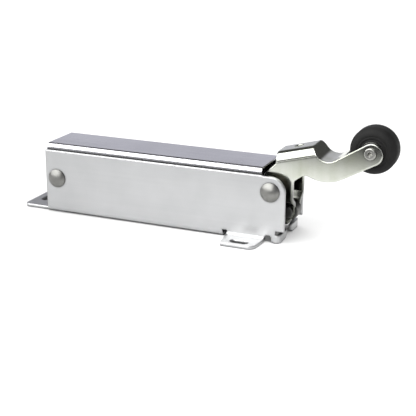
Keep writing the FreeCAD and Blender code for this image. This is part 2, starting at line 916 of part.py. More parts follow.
def make_roller():
    """Tread with rounded edges, and the bush that it is pressed on."""
    outer = size["roller_diameter"] / 2
    bore = size["axle_diameter"] / 2 + size["running_gap"]
    bush = bore + size["roller_bush_wall"]
    seat = bush + size["fit_gap"]
    tread = [
        (seat, -roller_half),
        (outer, -roller_half, size["roller_round"]),
        (outer, roller_half, size["roller_round"]),
        (seat, roller_half),
    ]
    return [
        turned_on_y("roller_tread", [(tread, {})], axle_x, axle_z),
        turned_on_y("roller_bush", [ring_loop(bore, bush, -roller_half, roller_half)], axle_x, axle_z),
    ]


def on_strut(label):
    """Start a body whose X runs along the strut from the rear rivet."""
    body = new_body(label)
    place(body, rear_x, rear_z, strut_tilt)
    return body


def turned_on_strut(label, corners, domes=None):
    """Piece turned about the strut, from an outline of distance along it and radius."""
    body = on_strut(label)
    sketch = new_sketch(body, "XY_Plane")
    draw_loop(sketch, corners, domes)
    revolve(body, sketch, "H_Axis")
    return body


def ring_on_strut(label, inner, outer, start, end):
    """Plain ring round the strut."""
    return turned_on_strut(label, [(start, inner), (end, inner), (end, outer), (start, outer)])


tube_outer = size["tube_diameter"] / 2
tube_bore = tube_outer - size["tube_wall"]
rod_radius = size["rod_diameter"] / 2
rod_bore = rod_radius + size["running_gap"]
tube_start = size["neck_length"] + size["shoulder_length"]
tube_end = tube_start + size["tube_length"]
gland_front = tube_end - size["gland_setback"]
gland_back = gland_front - size["gland_length"]
rod_seat_front = strut_length - size["rod_eye_reach"]
rod_seat_back = rod_seat_front - size["seat_thickness"]
rear_seat_front = tube_start + size["seat_thickness"]


def make_rear_eye_cap():
    """Closed end of the cylinder: plug, shoulder and neck, with a cross eye on the rear rivet."""
    body = on_strut("rear_eye_cap")
    turning = new_sketch(body, "XY_Plane")
    plug = tube_bore - size["fit_gap"]
    plug_end = tube_start + size["plug_length"]
    draw_loop(turning, [
        (0, 0),
        (plug_end, 0),
        (plug_end, plug),
        (tube_start, plug),
        (tube_start, size["shoulder_radius"]),
        (size["neck_length"], size["shoulder_radius"]),
        (size["neck_length"], size["neck_radius"]),
        (0, size["neck_radius"]),
    ])
    revolve(body, turning, "H_Axis")
    eye = new_sketch(body, "XZ_Plane")
    draw_circle(eye, 0, 0, size["eye_radius"] * 2)
    pad(body, eye, size["eye_width"], symmetric=True)
    bore = new_sketch(body, "XZ_Plane")
    draw_circle(bore, 0, 0, rivet_bore * 2)
    pocket(body, bore, size["eye_width"] + OVERRUN * 2, symmetric=True)
    return body


def make_cylinder_tube():
    """Tube with a groove inside its front end for the snap ring."""
    groove = tube_bore + size["ring_groove"]
    groove_end = gland_front + size["snap_ring_thickness"]
    return turned_on_strut("cylinder_tube", [
        (tube_start, tube_bore),
        (gland_front, tube_bore),
        (gland_front, groove),
        (groove_end, groove),
        (groove_end, tube_bore),
        (tube_end, tube_bore),
        (tube_end, tube_outer),
        (tube_start, tube_outer),
    ])


def make_gland_pieces():
    """Rod gland with its ring seal, rod seal and snap ring."""
    outer = tube_bore - size["fit_gap"]
    section = size["oring_section"]
    groove_start = gland_back + size["gland_groove_place"]
    groove_end = groove_start + section
    groove_floor = tube_bore - section
    seal_outer = rod_radius + size["seal_band"]
    seal_start = gland_front - size["seal_length"]
    gap = size["fit_gap"]
    snap_outer = tube_bore + size["ring_groove"] - gap
    gland = turned_on_strut("rod_gland", [
        (gland_back, rod_bore),
        (seal_start, rod_bore),
        (seal_start, seal_outer),
        (gland_front, seal_outer),
        (gland_front, outer),
        (groove_end, outer),
        (groove_end, groove_floor),
        (groove_start, groove_floor),
        (groove_start, outer),
        (gland_back, outer),
    ])
    middle = (groove_start + groove_end) / 2
    radius = section / 2 - gap
    oring = on_strut("gland_oring")
    ring = new_sketch(oring, "XY_Plane")
    draw_circle(ring, middle, tube_bore - section / 2, radius * 2)
    revolve(oring, ring, "H_Axis")
    return [
        gland,
        oring,
        ring_on_strut("rod_seal", rod_bore, seal_outer - gap, seal_start, gland_front),
        ring_on_strut("gland_snap_ring", snap_outer - size["snap_ring_band"], snap_outer,
                      gland_front, gland_front + size["snap_ring_thickness"]),
    ]


def make_spring_seats():
    """Ring on the tube against the cap's shoulder, and ring on the rod against the rod's eye."""
    outer = size["seat_diameter"] / 2
    gap = size["fit_gap"]
    return [
        ring_on_strut("spring_rear_seat", tube_outer + gap, outer, tube_start, rear_seat_front),
        ring_on_strut("spring_front_seat", rod_radius + gap, outer, rod_seat_back, rod_seat_front),
    ]


def make_closing_spring():
    """Round-wire coil between the two seats."""
    wire = size["spring_wire"]
    start = rear_seat_front + size["spring_end_gap"] + wire / 2
    end = rod_seat_back - size["spring_end_gap"] - wire / 2
    mean = (size["spring_diameter"] - wire) / 2
    body = on_strut("closing_spring")
    section = new_sketch(body, "XY_Plane")
    draw_circle(section, start, mean, wire)
    coil = body.newObject("PartDesign::AdditiveHelix", "closing_spring_coil")
    coil.Profile = section
    coil.ReferenceAxis = (section, ["H_Axis"])
    coil.Mode = "height-turns-growth"
    bind(coil, "Height", end - start)
    bind(coil, "Turns", size["spring_turns"])
    doc.recompute()
    return body


def make_piston_rod():
    """Rod with a thinner tail for the piston and its nut."""
    tail = size["rod_tail_diameter"] / 2
    piston_end = size["piston_place"] + size["piston_length"]
    tail_start = size["piston_place"] - size["nut_length"] - size["rod_tail"]
    front = rod_seat_front + size["rod_socket"]
    return turned_on_strut("piston_rod", [
        (tail_start, 0),
        (front, 0),
        (front, rod_radius),
        (piston_end, rod_radius),
        (piston_end, tail),
        (tail_start, tail),
    ])


def make_piston_pieces():
    """Piston on the rod's tail, with its ring and nut."""
    gap = size["fit_gap"]
    bore = size["rod_tail_diameter"] / 2 + gap
    outer = tube_bore - size["side_gap"]
    start = size["piston_place"]
    end = start + size["piston_length"]
    ring_start = (start + end - size["piston_ring_height"]) / 2
    ring_end = ring_start + size["piston_ring_height"]
    floor = tube_bore - size["piston_ring_band"] - gap * 2
    piston = turned_on_strut("piston", [
        (start, bore),
        (end, bore),
        (end, outer),
        (ring_end, outer),
        (ring_end, floor),
        (ring_start, floor),
        (ring_start, outer),
        (start, outer),
    ])
    ring = ring_on_strut("piston_ring", floor + gap, tube_bore - gap, ring_start, ring_end)
    nut = on_strut("piston_nut")
    flats = new_sketch(nut, "YZ_Plane", start - size["nut_length"])
    reach = size["nut_flats"] / 2 / math.cos(math.pi / NUT_SIDES)
    turns = [math.tau * i / NUT_SIDES for i in range(NUT_SIDES)]
    draw_loop(flats, [(reach * math.cos(turn), reach * math.sin(turn)) for turn in turns])
    draw_circle(flats, 0, 0, bore * 2)
    pad(nut, flats, size["nut_length"])
    return [piston, ring, nut]


def make_rod_end_eye():
    """Eye on the front of the rod: a neck, and a tongue between the lobes with a slot for the pin."""
    body = on_strut("rod_end_eye")
    turning = new_sketch(body, "XY_Plane")
    neck_end = strut_length - size["rod_tongue"]
    draw_loop(turning, [
        (rod_seat_front, 0),
        (neck_end, 0),
        (neck_end, size["rod_neck_radius"]),
        (rod_seat_front, size["rod_neck_radius"]),
    ])
    revolve(body, turning, "H_Axis")
    eye = new_sketch(body, "XZ_Plane")
    radius = size["rod_eye_radius"]
    draw_loop(eye, [
        (neck_end, -radius),
        (strut_length, -radius),
        (strut_length, radius),
        (neck_end, radius),
    ], {1: None})
    pad(body, eye, (lobe_inside - size["side_gap"]) * 2, symmetric=True)

    # The spring holds the back of the slot against the pin, and the slot's height lets the pin swing
    pin = size["crank_diameter"]
    width = pin + size["pin_seat_gap"] + size["pin_slot_length"]
    middle = strut_length - pin / 2 - size["pin_seat_gap"] + width / 2
    hole = new_sketch(body, "XZ_Plane")
    draw_slot(hole, middle, as_size(0), width + size["pin_slot_height"], width, along_x=False)
    pocket(body, hole, lobe_inside * 2, symmetric=True)
    socket = new_sketch(body, "YZ_Plane", rod_seat_front)
    draw_circle(socket, 0, 0, size["rod_diameter"] + size["fit_gap"] * 2)
    pocket(body, socket, size["rod_socket"], along_normal=True)
    return body


spacer_outer = rivet_bore + size["spacer_wall"]
pieces = [
    make_housing_channel(),
    make_top_cover(),
    make_rivet("pivot_rivet", pivot_x, pivot_z),
    make_rivet("rear_rivet", rear_x, rear_z),
    make_pair_on_y("pivot_spacers", rivet_bore, spacer_outer, spacer_face, wall_inside, pivot_x, pivot_z),
    make_pair_on_y("rear_spacers", rivet_bore, spacer_outer, size["eye_width"] / 2 + size["side_gap"],
                   cover_inside, rear_x, rear_z),
    make_lever_arm(),
    make_pivot_bushes(),
    make_crank_pin(),
    make_roller_axle(),
    make_pair_on_y("roller_washers", washer_bore, size["roller_washer"] / 2,
                   roller_half + size["side_gap"], arm_inside, axle_x, axle_z),
    *make_roller(),
    make_rear_eye_cap(),
    make_cylinder_tube(),
    *make_gland_pieces(),
    *make_spring_seats(),
    make_closing_spring(),
    make_piston_rod(),
    *make_piston_pieces(),
    make_rod_end_eye(),
]
doc.recompute()

for item in doc.Objects:
    if "Invalid" in item.State or "Error" in item.State:
        raise RuntimeError(f"{item.Label} failed: {item.State}")
for piece in pieces:
    if piece.Shape.isNull() or not piece.Shape.isValid():
        raise RuntimeError(f"{piece.Label} has no valid shape")

os.makedirs("parts", exist_ok=True)
for piece in pieces:
    piece.Shape.exportStep(f"parts/{piece.Label}.step")
    print(f"{piece.Label}: {len(piece.Shape.Solids)} solids, {piece.Shape.Volume:.1f} mm3")
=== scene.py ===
"""Looks of a hydraulic door closer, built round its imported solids.

A plated channel with a nested cover carries a pressed arm with a rubber roller. A strut inside,
a cylinder in a coil spring, pushes on the arm's crank. The solids give every place and size:
the sheet metal and most inner pieces are dressed as they are, and the rivets, the roller's tread
and the spring are turned or wound again with finer forms. Metres, in the frame of the solids.
"""

import json
import logging
import math
from collections.abc import Callable, Sequence
from dataclasses import dataclass
from enum import Enum

import bmesh
import bpy
from mathutils import Matrix, Vector


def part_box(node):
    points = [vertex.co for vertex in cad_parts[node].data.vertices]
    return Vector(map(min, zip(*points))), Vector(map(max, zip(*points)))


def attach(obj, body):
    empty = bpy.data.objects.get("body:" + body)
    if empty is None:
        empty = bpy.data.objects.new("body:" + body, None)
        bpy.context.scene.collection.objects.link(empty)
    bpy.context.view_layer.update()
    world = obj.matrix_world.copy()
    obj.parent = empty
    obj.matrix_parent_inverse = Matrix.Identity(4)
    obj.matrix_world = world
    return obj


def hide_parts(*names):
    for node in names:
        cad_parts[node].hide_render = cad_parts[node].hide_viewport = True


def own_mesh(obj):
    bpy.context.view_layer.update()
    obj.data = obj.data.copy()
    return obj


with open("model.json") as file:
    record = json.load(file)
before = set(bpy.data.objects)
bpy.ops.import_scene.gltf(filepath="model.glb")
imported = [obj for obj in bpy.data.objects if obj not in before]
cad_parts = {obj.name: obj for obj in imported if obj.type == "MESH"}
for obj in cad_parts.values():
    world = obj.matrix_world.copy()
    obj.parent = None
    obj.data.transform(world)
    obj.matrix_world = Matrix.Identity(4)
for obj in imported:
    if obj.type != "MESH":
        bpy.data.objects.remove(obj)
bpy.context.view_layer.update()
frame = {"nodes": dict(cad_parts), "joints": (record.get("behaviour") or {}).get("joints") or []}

logging.basicConfig(level=logging.INFO, format="%(message)s")
log = logging.getLogger("door_closer")

MM = 0.001
Colour = tuple[float, float, float]
Point = tuple[float, float, float]
Outline = list[tuple[float, ...]]
Socket = bpy.types.NodeSocket

# Inputs and output of a Mix node that blends colours.
MIX_SHARE, MIX_FIRST, MIX_SECOND, MIX_RESULT = 0, 6, 7, 2
# Rays that the nodes send out to find edges and close neighbours.
EDGE_SAMPLES, SOFT_SAMPLES, OPEN_SAMPLES = 4, 6, 8

DUST_COLOUR: Colour = (0.62, 0.61, 0.59)
SHADE_COLOUR: Colour = (0.02, 0.02, 0.019)

# How close vertices of a solid are joined, and how its edges are broken.
JOIN_WITHIN = 0.002 * MM
EDGE_SEGMENTS = 2
EDGE_ANGLE = 32
# Radius under which a point of a turned outline lies on the axis.
ON_AXIS = 1e-7


class Run(Enum):
    """Way that the lines of a finish run, as lines per metre along X, Y and Z."""

    LENGTHWISE = (18.0, 1500.0, 1500.0)
    UPRIGHT = (900.0, 900.0, 28.0)
    TURNED = (2200.0, 160.0, 2200.0)
    NONE = (700.0, 700.0, 700.0)


def paint(colour: Colour) -> tuple[float, float, float, float]:
    """Opaque colour for a socket."""
    return (*colour, 1.0)


class Graph:
    """A node tree and the few steps that fill it."""

    def __init__(self, tree: bpy.types.NodeTree) -> None:
        """Keep the tree and empty it."""
        self.tree = tree
        tree.nodes.clear()

    def add(self, kind: str, values: dict | None = None, **settings: object) -> bpy.types.Node:
        """Add a node.

        Args:
            kind: Type of the node, without the common start of its name.
            values: Values or sockets for its inputs, by name or number.
            **settings: Properties of the node itself.

        Returns:
            The new node.
        """
        node = self.tree.nodes.new(f"ShaderNode{kind}")
        for name, value in settings.items():
            setattr(node, name, value)
        for name, value in (values or {}).items():
            if isinstance(value, Socket):
                self.tree.links.new(value, node.inputs[name])
            else:
                node.inputs[name].default_value = value
        return node

    def math(self, operation: str, *values: object) -> Socket:
        """Result of a sum on sockets or numbers."""
        return self.add("Math", dict(enumerate(values)), operation=operation).outputs[0]

    def vector(self, operation: str, *values: object) -> Socket:
        """Vector that comes from a sum on vectors."""
        return self.add("VectorMath", dict(enumerate(values)), operation=operation).outputs[0]

    def dot(self, first: object, second: object) -> Socket:
        """How far two vectors agree."""
        values = {0: first, 1: second}
        return self.add("VectorMath", values, operation="DOT_PRODUCT").outputs[1]

    def axes(self, vector: Socket) -> bpy.types.bpy_prop_collection:
        """Parts of a vector along X, Y and Z."""
        return self.add("SeparateXYZ", {0: vector}).outputs

    def span(self, value: object, start: object, end: object,
             low: object = 0.0, high: object = 1.0) -> Socket:
        """Value moved from the span start to end onto the span low to high."""
        values = {"Value": value, "From Min": start, "From Max": end, "To Min": low, "To Max": high}
        return self.add("MapRange", values).outputs[0]

    def blend(self, share: object, first: object, second: object) -> Socket:
        """Colour between two colours."""
        values = {MIX_SHARE: share, MIX_FIRST: first, MIX_SECOND: second}
        return self.add("Mix", values, data_type="RGBA").outputs[MIX_RESULT]

    def noise(self, place: object, scale: object, detail: float, rough: float) -> Socket:
        """Noise at a place, around a half."""
        values = {"Vector": place, "Scale": scale, "Detail": detail, "Roughness": rough}
        return self.add("TexNoise", values).outputs[0]

    def openness(self, reach: object, **settings: object) -> Socket:
        """Share of the directions that are free of metal within a reach."""
        node = self.add("AmbientOcclusion", {"Distance": reach}, samples=OPEN_SAMPLES, **settings)
        return node.outputs["AO"]

    def surface(self, values: dict) -> None:
        """End a material in a surface with these values."""
        shader = self.add("BsdfPrincipled", values)
        output = self.add("OutputMaterial")
        self.tree.links.new(shader.outputs[0], output.inputs[0])


def new_material(name: str) -> tuple[bpy.types.Material, Graph]:
    """New material and its empty graph."""
    material = bpy.data.materials.new(name)
    material.use_nodes = True
    return material, Graph(material.node_tree)


class Effect:
    """A shader group that several finishes share, made once."""

    def __init__(self, name: str, inputs: dict[str, str], outputs: dict[str, str],
                 fill: Callable[["Effect"], None]) -> None:
        """Make the group.

        Args:
            name: Name of the group.
            inputs: Kind of each input socket, by name.
            outputs: Kind of each output socket, by name.
            fill: Draws the inside of the group.
        """
        self.tree = bpy.data.node_groups.new(name, "ShaderNodeTree")
        for way, sockets in (("INPUT", inputs), ("OUTPUT", outputs)):
            for socket, kind in sockets.items():
                kind_name = f"NodeSocket{kind}"
                self.tree.interface.new_socket(name=socket, in_out=way, socket_type=kind_name)
        self.graph = Graph(self.tree)
        self.source = self.tree.nodes.new("NodeGroupInput").outputs
        self.sink = self.tree.nodes.new("NodeGroupOutput").inputs
        fill(self)

    def give(self, name: str, value: Socket) -> None:
        """Send a value out of the group."""
        self.tree.links.new(value, self.sink[name])

    def use(self, graph: Graph, values: dict[str, object]) -> bpy.types.bpy_prop_collection:
        """Place the group in a material with its own values and give its outputs."""
        return graph.add("Group", values, node_tree=self.tree).outputs


def fill_lines(effect: Effect) -> None:
    """Fine lines left by rolling, brushing or turning."""
    graph = effect.graph
    broad_size, fine_share, broad_share = 0.23, 0.45, 0.55
    fine = graph.vector("MULTIPLY", effect.source["Place"], effect.source["Lines"])
    broad = graph.vector("MULTIPLY", fine, (broad_size,) * 3)
    first = graph.noise(fine, 1.0, detail=3.0, rough=0.6)
    second = graph.noise(broad, 1.0, detail=2.0, rough=0.5)
    faint = graph.math("MULTIPLY", first, fine_share)
    effect.give("Height", first)
    effect.give("Tone", graph.math("MULTIPLY_ADD", second, broad_share, faint))


def fill_clouds(effect: Effect) -> None:
    """Soft patches of a plated or moulded surface, and the fine specks in it."""
    graph = effect.graph
    specks_per_patch, patch_span = 38.0, (0.3, 0.7)
    place, size = effect.source["Place"], effect.source["Patches"]
    wide = graph.noise(place, size, detail=3.0, rough=0.55)
    fine_size = graph.math("MULTIPLY", size, specks_per_patch)
    effect.give("Patch", graph.span(wide, *patch_span))
    effect.give("Speck", graph.noise(place, fine_size, detail=2.0, rough=0.6))


def fill_edges(effect: Effect) -> None:
    """Where an edge has lost its finish, broken up along its length."""
    graph = effect.graph
    turn_span, spot_span = (0.015, 0.16), (0.32, 0.62)
    radius = {"Radius": effect.source["Width"]}
    soft = graph.add("Bevel", radius, samples=EDGE_SAMPLES).outputs[0]
    true = graph.add("NewGeometry").outputs["Normal"]
    turn = graph.math("SUBTRACT", 1.0, graph.dot(soft, true))
    bare = graph.span(turn, *turn_span)
    spots = graph.noise(effect.source["Place"], effect.source["Breaks"], detail=3.0, rough=0.6)
    broken = graph.span(spots, *spot_span)
    effect.give("Mask", graph.math("MULTIPLY", bare, broken))


def fill_crevices(effect: Effect) -> None:
    """Where the same piece's own metal stands close by and little light gets in."""
    graph = effect.graph
    shade_span = (0.75, 0.1)
    open_share = graph.openness(effect.source["Reach"], only_local=True)
    effect.give("Mask", graph.span(open_share, *shade_span))


def fill_seams(effect: Effect) -> None:
    """Painted shade where another piece lies against this one, along the line where they meet."""
    graph = effect.graph
    shade_span = (0.98, 0.6)
    open_share = graph.openness(effect.source["Reach"])
    effect.give("Mask", graph.span(open_share, *shade_span))


def fill_dust(effect: Effect) -> None:
    """Thin film of dust and finger marks, thicker on faces that look up."""
    graph = effect.graph
    up_span, lying_span, spot_span = (-0.2, 1.0), (0.35, 1.0), (0.42, 0.75)
    up = graph.axes(graph.add("NewGeometry").outputs["Normal"])[2]
    lying = graph.span(up, *up_span, *lying_span)
    spots = graph.noise(effect.source["Place"], effect.source["Patches"], detail=4.0, rough=0.65)
    spread = graph.span(spots, *spot_span)
    effect.give("Mask", graph.math("MULTIPLY", lying, spread))


LINES = Effect("surface_lines", {"Place": "Vector", "Lines": "Vector"},
               {"Height": "Float", "Tone": "Float"}, fill_lines)
CLOUDS = Effect("surface_clouds", {"Place": "Vector", "Patches": "Float"},
                {"Patch": "Float", "Speck": "Float"}, fill_clouds)
EDGES = Effect("edge_wear", {"Place": "Vector", "Width": "Float", "Breaks": "Float"},
               {"Mask": "Float"}, fill_edges)
CREVICES = Effect("crevice_shade", {"Reach": "Float"}, {"Mask": "Float"}, fill_crevices)
SEAMS = Effect("seam_shade", {"Reach": "Float"}, {"Mask": "Float"}, fill_seams)
DUST = Effect("dust_film", {"Place": "Vector", "Patches": "Float"}, {"Mask": "Float"}, fill_dust)


@dataclass(frozen=True)
class Finish:
    """A metal or moulded finish.

    Attributes:
        name: Name of the material.
        slot: Material slot of the record that it belongs to. Not used.
        tone: Main colour.
        patch: Colour of the patches in it.
        edge: Colour where an edge is rubbed bare, also painted as a highlight on faces that look up
            far from the middle plane.
        metallic: 1 for bare or plated metal, 0 for rubber, paint and plastic.
        rough: Lowest and highest roughness.
        run: Way that its lines run.
        depth: Depth of the lines in metres.
        relief: Strength of the lines.
        patches: Patches per metre.
        contrast: How far the lines and patches change the colour.
        edge_width: Reach of the wear along edges in metres.
        wear: How far the edges are rubbed.
        dust: How much dust lies on it.
        specular: Strength of the plain reflection.
        shade: How far it darkens where its own metal is close.
        reach: How close that metal is, in metres.
        seam_shade_strength: How far painted shade darkens it where another piece lies against it.
        seam_reach: How far that line spreads, in metres.
        soft_edge: Rounding that its edges show, in metres.
        lit_top_beyond: Distance from the middle plane past which its faces that look up take the edge
            colour, as a painted highlight, in metres.
        lower_shade: How far painted shade darkens its lower part.
        lower_shade_span: Heights between which that painted shade comes up to its full depth.
    """

    name: str
    slot: str
    tone: Colour
    patch: Colour
    edge: Colour
    metallic: float = 1.0
    rough: tuple[float, float] = (0.25, 0.4)
    run: Run = Run.NONE
    depth: float = 0.02 * MM
    relief: float = 0.1
    patches: float = 45.0
    contrast: float = 0.5
    edge_width: float = 0.6 * MM
    wear: float = 0.5
    dust: float = 0.1
    specular: float = 0.5
    shade: float = 0.85
    reach: float = 12.0 * MM
    seam_shade_strength: float = 0.6
    seam_reach: float = 1.2 * MM
    soft_edge: float = 0.3 * MM
    lit_top_beyond: float = 1.0
    lower_shade: float = 0.0
    lower_shade_span: tuple[float, float] = (0.0, -1.0)

    def material(self) -> bpy.types.Material:
        """Material of this finish, made the first time it is asked for."""
        name = f"{self.name}_finish"
        made = bpy.data.materials.get(name)
        if made is None:
            made, graph = new_material(name)
            self.draw(graph)
        return made

    def draw(self, graph: Graph) -> None:
        """Draw the nodes of the material."""
        dust_size, dust_rough, half, rough_span = 0.6, 0.35, 0.5, (0.2, 0.8)
        place = graph.add("TexCoord").outputs["Object"]
        lines = LINES.use(graph, {"Place": place, "Lines": self.run.value})
        clouds = CLOUDS.use(graph, {"Place": place, "Patches": self.patches})
        dust = DUST.use(graph, {"Place": place, "Patches": self.patches * dust_size})
        film = graph.math("MULTIPLY", dust["Mask"], self.dust)
        half_patch = graph.math("MULTIPLY", clouds["Patch"], half)
        share = graph.math("MULTIPLY_ADD", lines["Tone"], half, half_patch)
        rough = graph.span(share, *rough_span, *self.rough)
        graph.surface({
            "Base Color": self.colour(graph, place, share, film),
            "Metallic": self.metallic,
            "Roughness": graph.math("ADD", rough, graph.math("MULTIPLY", film, dust_rough)),
            "Specular IOR Level": self.specular,
            "Normal": self.normal(graph, clouds["Speck"], lines["Height"]),
        })

    def colour(self, graph: Graph, place: Socket, share: Socket, film: Socket) -> Socket:
        """Colour of the finish, with its wear, dust, painted highlight and painted shade.

        Args:
            graph: Graph of the material.
            place: Place on the piece.
            share: Share of the patch's colour before its contrast.
            film: Thickness of the dust.

        Returns:
            The colour.
        """
        breaks_per_patch, looks_up = 9, 0.5
        values = {"Place": place, "Width": self.edge_width, "Breaks": self.patches * breaks_per_patch}
        edges = EDGES.use(graph, values)
        mixed = graph.math("MULTIPLY", share, self.contrast)
        colour = graph.blend(mixed, paint(self.tone), paint(self.patch))
        axes = graph.axes(place)
        # Painted highlight: faces that look up, past this distance from the middle plane, take the
        # lighter edge colour.
        aside = graph.math("GREATER_THAN", graph.math("ABSOLUTE", axes[1]), self.lit_top_beyond)
        up = graph.axes(graph.add("NewGeometry").outputs["Normal"])[2]
        lit_top = graph.math("MULTIPLY", aside, graph.math("GREATER_THAN", up, looks_up))
        wear_and_highlight = graph.math("MAXIMUM", graph.math("MULTIPLY", edges["Mask"], self.wear), lit_top)
        colour = graph.blend(wear_and_highlight, colour, paint(self.edge))
        colour = graph.blend(film, colour, paint(DUST_COLOUR))
        # Painted shade: darker where the piece's own metal is close and along seams with other
        # pieces.
        crevices = CREVICES.use(graph, {"Reach": self.reach})
        seams = SEAMS.use(graph, {"Reach": self.seam_reach})
        shade = graph.math("MULTIPLY", crevices["Mask"], self.shade)
        shade = graph.math("MAXIMUM", shade, graph.math("MULTIPLY", seams["Mask"], self.seam_shade_strength))
        # Painted shade: the colour darkens towards the piece's lower part.
        lower_shade = graph.span(axes[2], *self.lower_shade_span, 0.0, self.lower_shade)
        return graph.blend(graph.math("MAXIMUM", shade, lower_shade), colour, paint(SHADE_COLOUR))

    def normal(self, graph: Graph, specks: Socket, lines: Socket) -> Socket:
        """Normal with softened edges, fine lines and specks."""
        speck_height = 0.35
        height = graph.math("MULTIPLY_ADD", specks, speck_height, lines)
        soft = graph.add("Bevel", {"Radius": self.soft_edge}, samples=SOFT_SAMPLES).outputs[0]
        values = {"Strength": self.relief, "Distance": self.depth, "Height": height, "Normal": soft}
        return graph.add("Bump", values).outputs[0]


HOUSING_PLATE = Finish(
    "housing_plate", "housing_plate", (0.53, 0.535, 0.54), (0.41, 0.415, 0.42), (0.62, 0.62, 0.62),
    rough=(0.30, 0.40), run=Run.LENGTHWISE, relief=0.05, patches=32.0, contrast=0.9, wear=0.2,
    shade=0.35, seam_shade_strength=0.45, seam_reach=1.4 * MM, soft_edge=1.5 * MM, lit_top_beyond=18.6 * MM)
COVER_PLATE = Finish(
    "cover_plate", "cover_plate", (0.66, 0.66, 0.69), (0.54, 0.54, 0.58), (0.80, 0.80, 0.81),
    rough=(0.18, 0.30), run=Run.LENGTHWISE, relief=0.16, patches=20.0, contrast=0.7, wear=0.3,
    dust=0.02, seam_shade_strength=1.0, seam_reach=4.0 * MM)
ARM_PLATE = Finish(
    "arm_plate", "arm_plate", (0.65, 0.655, 0.645), (0.41, 0.435, 0.33), (0.74, 0.74, 0.72),
    rough=(0.07, 0.17), run=Run.UPRIGHT, relief=0.10, patches=40.0, contrast=1.0, wear=0.2,
    shade=0.7, seam_shade_strength=0.7, seam_reach=3.4 * MM, soft_edge=1.2 * MM,
    lower_shade=0.8, lower_shade_span=(37.0 * MM, 28.0 * MM))
RIVET_STEEL = Finish(
    "rivet_steel", "rivet_steel", (0.23, 0.23, 0.22), (0.15, 0.15, 0.14), (0.40, 0.40, 0.38),
    rough=(0.30, 0.46), depth=0.05 * MM, relief=0.3, patches=220.0, contrast=0.9, wear=0.4)
# Painted highlight: the rivets' steel drawn lighter on the roller's axle, without painted shade, so
# its dimple reads bright.
LIT_AXLE_STEEL = Finish(
    "lit_axle_steel", "rivet_steel", (0.42, 0.42, 0.40), (0.30, 0.30, 0.28), (0.60, 0.60, 0.58),
    rough=(0.18, 0.34), relief=0.14, patches=220.0, contrast=0.8, wear=0.4, shade=0.0, seam_shade_strength=0.0)
PLAIN_STEEL = Finish(
    "plain_steel", "plain_steel", (0.60, 0.60, 0.60), (0.46, 0.46, 0.46), (0.82, 0.82, 0.82),
    rough=(0.25, 0.42), run=Run.TURNED, relief=0.15, patches=160.0, contrast=0.7, wear=0.6)
DARK_STEEL = Finish(
    "dark_steel", "dark_steel", (0.13, 0.13, 0.125), (0.08, 0.08, 0.078), (0.50, 0.50, 0.48),
    rough=(0.28, 0.45), run=Run.TURNED, relief=0.15, patches=160.0, contrast=0.8, wear=0.7)
TUBE_PAINT = Finish(
    "tube_paint", "tube_steel", (0.055, 0.058, 0.064), (0.040, 0.042, 0.047), (0.35, 0.35, 0.35),
    metallic=0.0, rough=(0.32, 0.48), relief=0.2, patches=120.0)
SPRING_STEEL = Finish(
    "spring_steel", "spring_steel", (0.20, 0.20, 0.21), (0.12, 0.12, 0.13), (0.45, 0.45, 0.45),
    rough=(0.30, 0.45), relief=0.2, patches=140.0, contrast=0.8, wear=0.2)
ROD_CHROME = Finish(
    "rod_chrome", "rod_chrome", (0.86, 0.86, 0.87), (0.80, 0.80, 0.81), (0.95, 0.95, 0.95),
    rough=(0.06, 0.12), run=Run.TURNED, relief=0.05, patches=80.0, contrast=0.4, wear=0.1)
BUSH_BRASS = Finish(
    "bush_brass", "gland_brass", (0.74, 0.56, 0.27), (0.56, 0.40, 0.18), (0.90, 0.76, 0.46),
    rough=(0.22, 0.38), run=Run.TURNED, relief=0.2, patches=150.0, contrast=0.8, wear=0.6)
SEAL_RUBBER = Finish(
    "seal_rubber", "seal_rubber", (0.020, 0.020, 0.020), (0.030, 0.030, 0.031), (0.05, 0.05, 0.05),
    metallic=0.0, rough=(0.5, 0.65), relief=0.2, patches=200.0, wear=0.2)
ROLLER_RUBBER = Finish(
    "roller_rubber", "roller_rubber",
    (0.005, 0.005, 0.0052), (0.018, 0.018, 0.0175), (0.03, 0.03, 0.029),
    metallic=0.0, rough=(0.5, 0.7), depth=0.09 * MM, relief=0.6, patches=150.0, contrast=0.9,
    edge_width=1.5 * MM, wear=0.2, dust=0.004, specular=0.13, shade=0.5)


def joint(name: str) -> dict:
    """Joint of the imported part, by name."""
    return next(item for item in frame["joints"] if item["name"] == name)


def dress(node: str, finish: Finish, edge: float = 0.0) -> None:
    """Give a solid its finish, and break its sharp edges.

    Args:
        node: Name of the solid.
        finish: Its finish.
        edge: Width of the broken edges in metres, or 0 for none.
    """
    solid = frame["nodes"][node]
    for slot in solid.material_slots:
        slot.material = finish.material()
    if edge:
        weld = solid.modifiers.new("joined_faces", "WELD")
        weld.merge_threshold = JOIN_WITHIN
        bevel = solid.modifiers.new("broken_edges", "BEVEL")
        bevel.width = edge
        bevel.segments = EDGE_SEGMENTS
        bevel.limit_method = "ANGLE"
        bevel.angle_limit = math.radians(EDGE_ANGLE)
        bevel.use_clamp_overlap = True
        normals = solid.modifiers.new("flat_faces", "WEIGHTED_NORMAL")
        normals.mode = "FACE_AREA"
        normals.keep_sharp = True
    log.info("dressed %s in %s", node, finish.name)


def finish_piece(mesh: bpy.types.Mesh, finish: Finish, body: str, node: str,
                 sharp: float = 35.0) -> bpy.types.Object:
    """Make a piece from a mesh that stands for a solid.

    Args:
        mesh: The piece's mesh, in place.
        finish: Its finish.
        body: Body that it rides on.
        node: Solid that it stands for.
        sharp: Angle in degrees past which an edge stays sharp.

    Returns:
        The new piece.
    """
    mesh.polygons.foreach_set("use_smooth", [True] * len(mesh.polygons))
    mesh.set_sharp_from_angle(angle=math.radians(sharp))
    mesh.materials.append(finish.material())
    piece = bpy.data.objects.new(mesh.name, mesh)
    bpy.context.scene.collection.objects.link(piece)
    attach(piece, body)
    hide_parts(node)
    log.info("made %s in %s on %s", piece.name, finish.name, body)
    return piece


